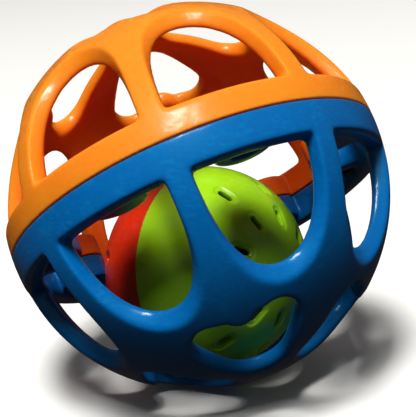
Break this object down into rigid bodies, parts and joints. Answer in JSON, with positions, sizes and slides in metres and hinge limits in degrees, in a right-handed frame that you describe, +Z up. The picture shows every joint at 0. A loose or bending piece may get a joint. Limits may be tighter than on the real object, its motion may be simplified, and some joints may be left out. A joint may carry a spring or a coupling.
{
  "type": "cat bell ball",
  "caption": "Open two-colour cage ball for a cat, with a loose slotted ball inside that carries a jingle bell and rattles as it rolls.",
  "frame": {"origin": "centre of the cage", "axes": "+Z straight up as the toy lies on a flat surface, -Y towards the picture's camera, +X to its right; the cage's pole axis leans 35.8 degrees from +Z, away from the camera and to the left"},
  "size_m": [0.0798, 0.08, 0.08],
  "materials": {
    "orange_plastic": "glossy moulded plastic",
    "blue_plastic": "glossy moulded plastic, lightly scuffed",
    "green_plastic": "glossy moulded plastic",
    "red_plastic": "glossy moulded plastic",
    "bell_metal": "bright pressed sheet",
    "pea_steel": "plain rolled steel"
  },
  "bodies": {
    "cage": {"upper_cage_half": "orange_plastic", "lower_cage_half": "blue_plastic"},
    "loose_ball": {"green_ball_half": "green_plastic", "red_ball_half": "red_plastic"},
    "bell": {"bell_crown": "bell_metal", "bell_bowl": "bell_metal", "bell_loop": "bell_metal"},
    "pea": {"bell_pea": "pea_steel"}
  },
  "joints": [
    {"name": "ball_rattle", "type": "slide", "parent": "cage", "child": "loose_ball", "axis": [-0.0424, 0.0848, 0.9955], "range_m": [0, 0.0306]},
    {"name": "bell_tumble", "type": "hinge", "parent": "loose_ball", "child": "bell", "pos_m": [0.00065, -0.0013, -0.01525], "axis": [0, 1, 0], "continuous": true},
    {"name": "pea_rattle", "type": "slide", "parent": "bell", "child": "pea", "axis": [0, 0, 1], "range_m": [0, 0.0096]}
  ]
}
